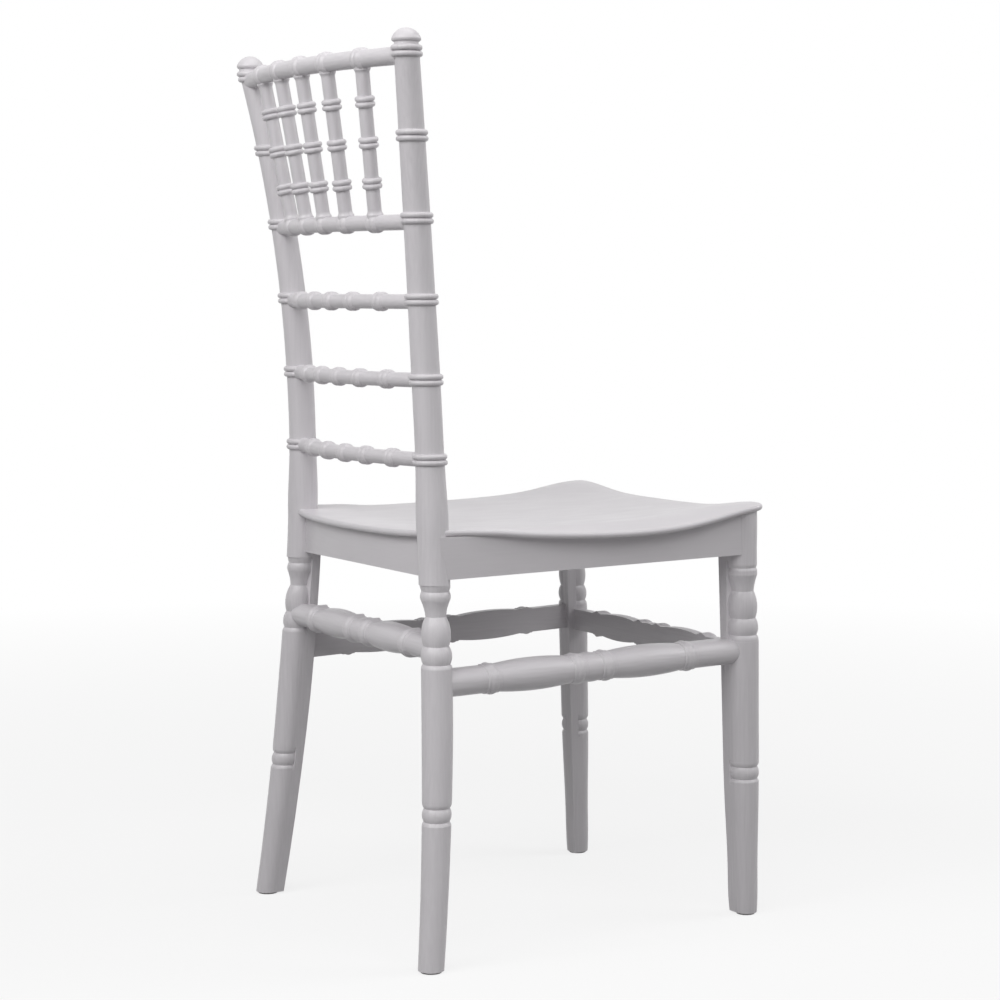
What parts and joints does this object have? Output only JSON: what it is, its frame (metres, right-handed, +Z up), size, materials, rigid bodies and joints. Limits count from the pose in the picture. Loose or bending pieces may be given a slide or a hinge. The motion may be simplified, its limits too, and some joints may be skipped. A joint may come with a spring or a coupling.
{
  "type": "chiavari chair",
  "caption": "Light stacking event chair with a turned-look ladder back, fanned spindles, a dished seat and half-round stretchers.",
  "frame": {"origin": "on the floor, under the middle of the chair's outer box", "axes": "+Z up; the sitter faces -Y; +X is the sitter's left, and X = 0 is the plane of symmetry"},
  "size_m": [0.3932, 0.469, 0.9185],
  "materials": {
    "white_resin": "satin moulded white resin",
    "zinc_steel": "zinc plated",
    "glide_plastic": "matt glide plastic"
  },
  "bodies": {
    "root": {"back_post_left": "white_resin", "back_post_right": "white_resin", "finial_left": "white_resin", "finial_right": "white_resin", "top_rail": "white_resin", "spindle_rail": "white_resin", "upper_rail": "white_resin", "middle_rail": "white_resin", "lower_rail": "white_resin", "spindle_1": "white_resin", "spindle_2": "white_resin", "spindle_3": "white_resin", "spindle_4": "white_resin", "spindle_5": "white_resin", "seat": "white_resin", "front_apron": "white_resin", "rear_apron": "white_resin", "left_apron": "white_resin", "right_apron": "white_resin", "front_leg_left": "white_resin", "front_leg_right": "white_resin", "front_stretcher": "white_resin", "rear_stretcher": "white_resin", "left_stretcher": "white_resin", "right_stretcher": "white_resin", "seat_screws": "zinc_steel", "foot_glides": "glide_plastic"}
  },
  "joints": []
}
